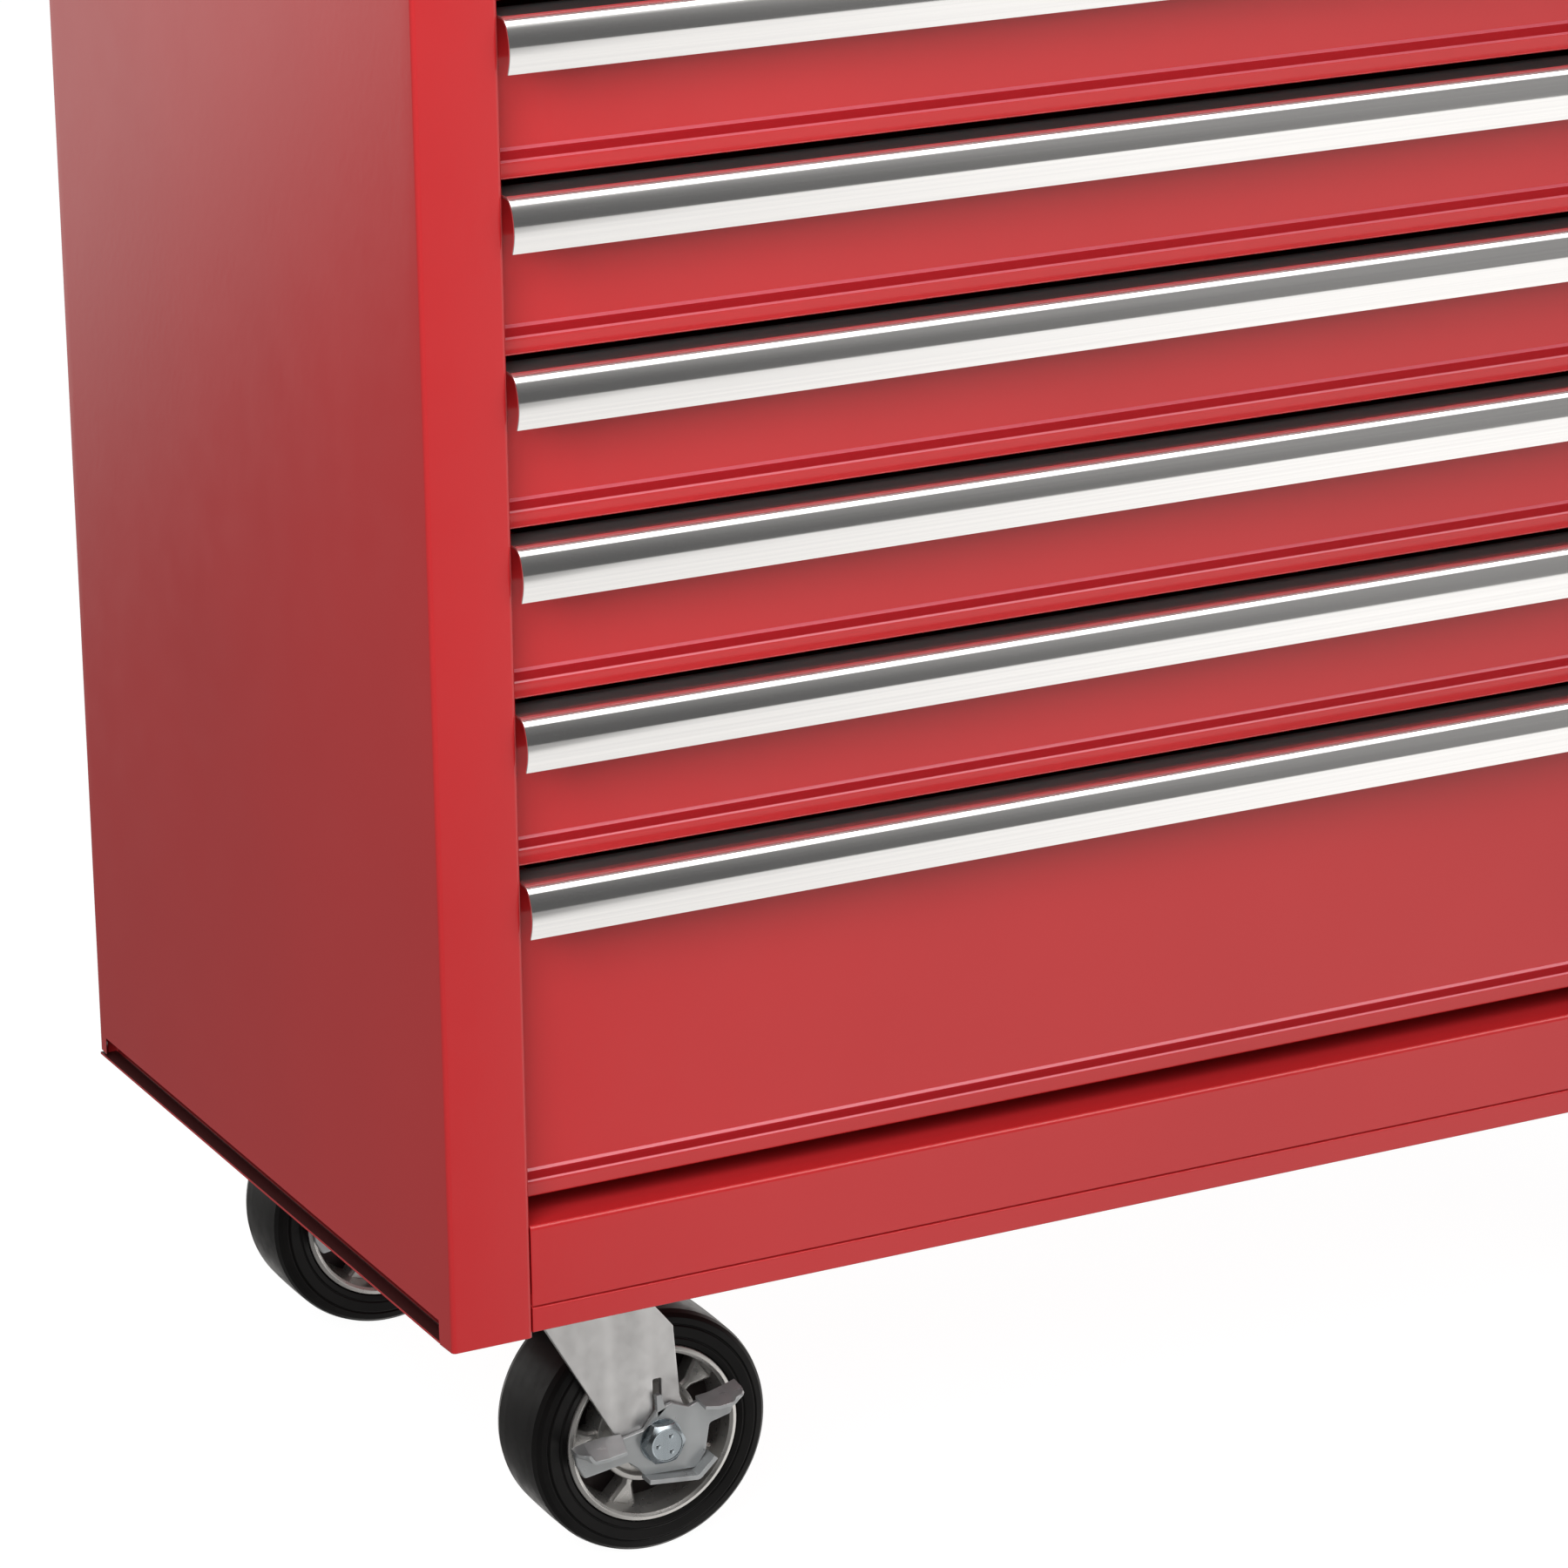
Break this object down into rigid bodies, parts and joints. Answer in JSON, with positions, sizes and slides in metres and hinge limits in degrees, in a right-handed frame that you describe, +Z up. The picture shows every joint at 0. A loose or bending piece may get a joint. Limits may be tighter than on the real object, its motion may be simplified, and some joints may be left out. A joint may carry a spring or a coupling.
{
  "type": "rolling tool chest",
  "caption": "Sheet-steel tool cabinet on braked casters, with full-width sliding drawers, polished curled pulls, a key lock and a push handle.",
  "frame": {"origin": "centre of the overall box, on the floor under the casters", "axes": "+X to the right across the front, +Y towards the back, +Z up; drawers open towards -Y"},
  "size_m": [0.966, 0.4657, 0.9155],
  "materials": {
    "cabinet_paint": "gloss red powder coat",
    "drawer_paint": "gloss red powder coat",
    "polished_pull": "bright polished sheet",
    "handle_chrome": "chrome plated tube",
    "lock_chrome": "chrome plated",
    "slide_zinc": "bright zinc plate",
    "caster_zinc": "zinc plated pressed steel",
    "hub_metal": "turned and cast wheel centre",
    "tyre_rubber": "black rubber"
  },
  "bodies": {
    "cabinet": {"left_side_panel": "cabinet_paint", "right_side_panel": "cabinet_paint", "back_panel": "cabinet_paint", "top_panel": "cabinet_paint", "base_pan": "cabinet_paint", "top_rail": "cabinet_paint", "bottom_rail": "cabinet_paint", "push_handle": "handle_chrome", "left_slide_rack": "slide_zinc", "right_slide_rack": "slide_zinc", "front_left_caster_plate": "caster_zinc", "rear_left_caster_plate": "caster_zinc", "front_right_caster_fork": "caster_zinc", "rear_right_caster_fork": "caster_zinc", "front_right_axle_bolt": "caster_zinc", "rear_right_axle_bolt": "caster_zinc"},
    "lock": {"lock_cylinder": "lock_chrome"},
    "drawer_1": {"drawer_1_tray": "drawer_paint", "drawer_1_pull": "polished_pull"},
    "drawer_1_slides": {"drawer_1_left_slide": "slide_zinc", "drawer_1_right_slide": "slide_zinc"},
    "drawer_2": {"drawer_2_tray": "drawer_paint", "drawer_2_pull": "polished_pull"},
    "drawer_2_slides": {"drawer_2_left_slide": "slide_zinc", "drawer_2_right_slide": "slide_zinc"},
    "drawer_3": {"drawer_3_tray": "drawer_paint", "drawer_3_pull": "polished_pull"},
    "drawer_3_slides": {"drawer_3_left_slide": "slide_zinc", "drawer_3_right_slide": "slide_zinc"},
    "drawer_4": {"drawer_4_tray": "drawer_paint", "drawer_4_pull": "polished_pull"},
    "drawer_4_slides": {"drawer_4_left_slide": "slide_zinc", "drawer_4_right_slide": "slide_zinc"},
    "drawer_5": {"drawer_5_tray": "drawer_paint", "drawer_5_pull": "polished_pull"},
    "drawer_5_slides": {"drawer_5_left_slide": "slide_zinc", "drawer_5_right_slide": "slide_zinc"},
    "drawer_6": {"drawer_6_tray": "drawer_paint", "drawer_6_pull": "polished_pull"},
    "drawer_6_slides": {"drawer_6_left_slide": "slide_zinc", "drawer_6_right_slide": "slide_zinc"},
    "drawer_7": {"drawer_7_tray": "drawer_paint", "drawer_7_pull": "polished_pull"},
    "drawer_7_slides": {"drawer_7_left_slide": "slide_zinc", "drawer_7_right_slide": "slide_zinc"},
    "front_left_swivel": {"front_left_caster_fork": "caster_zinc", "front_left_axle_bolt": "caster_zinc"},
    "front_left_wheel": {"front_left_tyre": "tyre_rubber", "front_left_hub": "hub_metal"},
    "front_left_brake": {"front_left_brake_lever": "caster_zinc"},
    "rear_left_swivel": {"rear_left_caster_fork": "caster_zinc", "rear_left_axle_bolt": "caster_zinc"},
    "rear_left_wheel": {"rear_left_tyre": "tyre_rubber", "rear_left_hub": "hub_metal"},
    "rear_left_brake": {"rear_left_brake_lever": "caster_zinc"},
    "front_right_wheel": {"front_right_tyre": "tyre_rubber", "front_right_hub": "hub_metal"},
    "rear_right_wheel": {"rear_right_tyre": "tyre_rubber", "rear_right_hub": "hub_metal"}
  },
  "joints": [
    {"name": "lock_turn", "type": "hinge", "parent": "cabinet", "child": "lock", "pos_m": [0.344, -0.22435, 0.888], "axis": [0, -1, 0], "range_deg": [0, 90]},
    {"name": "drawer_1_travel", "type": "slide", "parent": "cabinet", "child": "drawer_1", "axis": [0, -1, 0], "range_m": [0, 0.38]},
    {"name": "drawer_1_slides_travel", "type": "slide", "parent": "cabinet", "child": "drawer_1_slides", "axis": [0, -1, 0], "range_m": [0, 0.19]},
    {"name": "drawer_2_travel", "type": "slide", "parent": "cabinet", "child": "drawer_2", "axis": [0, -1, 0], "range_m": [0, 0.38]},
    {"name": "drawer_2_slides_travel", "type": "slide", "parent": "cabinet", "child": "drawer_2_slides", "axis": [0, -1, 0], "range_m": [0, 0.19]},
    {"name": "drawer_3_travel", "type": "slide", "parent": "cabinet", "child": "drawer_3", "axis": [0, -1, 0], "range_m": [0, 0.38]},
    {"name": "drawer_3_slides_travel", "type": "slide", "parent": "cabinet", "child": "drawer_3_slides", "axis": [0, -1, 0], "range_m": [0, 0.19]},
    {"name": "drawer_4_travel", "type": "slide", "parent": "cabinet", "child": "drawer_4", "axis": [0, -1, 0], "range_m": [0, 0.38]},
    {"name": "drawer_4_slides_travel", "type": "slide", "parent": "cabinet", "child": "drawer_4_slides", "axis": [0, -1, 0], "range_m": [0, 0.19]},
    {"name": "drawer_5_travel", "type": "slide", "parent": "cabinet", "child": "drawer_5", "axis": [0, -1, 0], "range_m": [0, 0.38]},
    {"name": "drawer_5_slides_travel", "type": "slide", "parent": "cabinet", "child": "drawer_5_slides", "axis": [0, -1, 0], "range_m": [0, 0.19]},
    {"name": "drawer_6_travel", "type": "slide", "parent": "cabinet", "child": "drawer_6", "axis": [0, -1, 0], "range_m": [0, 0.38]},
    {"name": "drawer_6_slides_travel", "type": "slide", "parent": "cabinet", "child": "drawer_6_slides", "axis": [0, -1, 0], "range_m": [0, 0.19]},
    {"name": "drawer_7_travel", "type": "slide", "parent": "cabinet", "child": "drawer_7", "axis": [0, -1, 0], "range_m": [0, 0.38]},
    {"name": "drawer_7_slides_travel", "type": "slide", "parent": "cabinet", "child": "drawer_7_slides", "axis": [0, -1, 0], "range_m": [0, 0.19]},
    {"name": "front_left_swivel_turn", "type": "hinge", "parent": "cabinet", "child": "front_left_swivel", "pos_m": [-0.389, -0.14735, 0.1355], "axis": [0, 0, 1], "continuous": true},
    {"name": "front_left_wheel_roll", "type": "hinge", "parent": "front_left_swivel", "child": "front_left_wheel", "pos_m": [-0.354, -0.14735, 0.06369], "axis": [0, 1, 0], "continuous": true},
    {"name": "front_left_brake_tilt", "type": "hinge", "parent": "front_left_swivel", "child": "front_left_brake", "pos_m": [-0.354, -0.14735, 0.06369], "axis": [0, 1, 0], "range_deg": [0, 18]},
    {"name": "rear_left_swivel_turn", "type": "hinge", "parent": "cabinet", "child": "rear_left_swivel", "pos_m": [-0.389, 0.17765, 0.1355], "axis": [0, 0, 1], "continuous": true},
    {"name": "rear_left_wheel_roll", "type": "hinge", "parent": "rear_left_swivel", "child": "rear_left_wheel", "pos_m": [-0.354, 0.17765, 0.06369], "axis": [0, 1, 0], "continuous": true},
    {"name": "rear_left_brake_tilt", "type": "hinge", "parent": "rear_left_swivel", "child": "rear_left_brake", "pos_m": [-0.354, 0.17765, 0.06369], "axis": [0, 1, 0], "range_deg": [0, 18]},
    {"name": "front_right_wheel_roll", "type": "hinge", "parent": "cabinet", "child": "front_right_wheel", "pos_m": [0.337, -0.14735, 0.06369], "axis": [0, 1, 0], "continuous": true},
    {"name": "rear_right_wheel_roll", "type": "hinge", "parent": "cabinet", "child": "rear_right_wheel", "pos_m": [0.337, 0.17765, 0.06369], "axis": [0, 1, 0], "continuous": true}
  ],
  "couplings": [
    {"joint": "drawer_1_slides_travel", "follows": "drawer_1_travel", "ratio": 0.5},
    {"joint": "drawer_2_slides_travel", "follows": "drawer_2_travel", "ratio": 0.5},
    {"joint": "drawer_3_slides_travel", "follows": "drawer_3_travel", "ratio": 0.5},
    {"joint": "drawer_4_slides_travel", "follows": "drawer_4_travel", "ratio": 0.5},
    {"joint": "drawer_5_slides_travel", "follows": "drawer_5_travel", "ratio": 0.5},
    {"joint": "drawer_6_slides_travel", "follows": "drawer_6_travel", "ratio": 0.5},
    {"joint": "drawer_7_slides_travel", "follows": "drawer_7_travel", "ratio": 0.5}
  ]
}
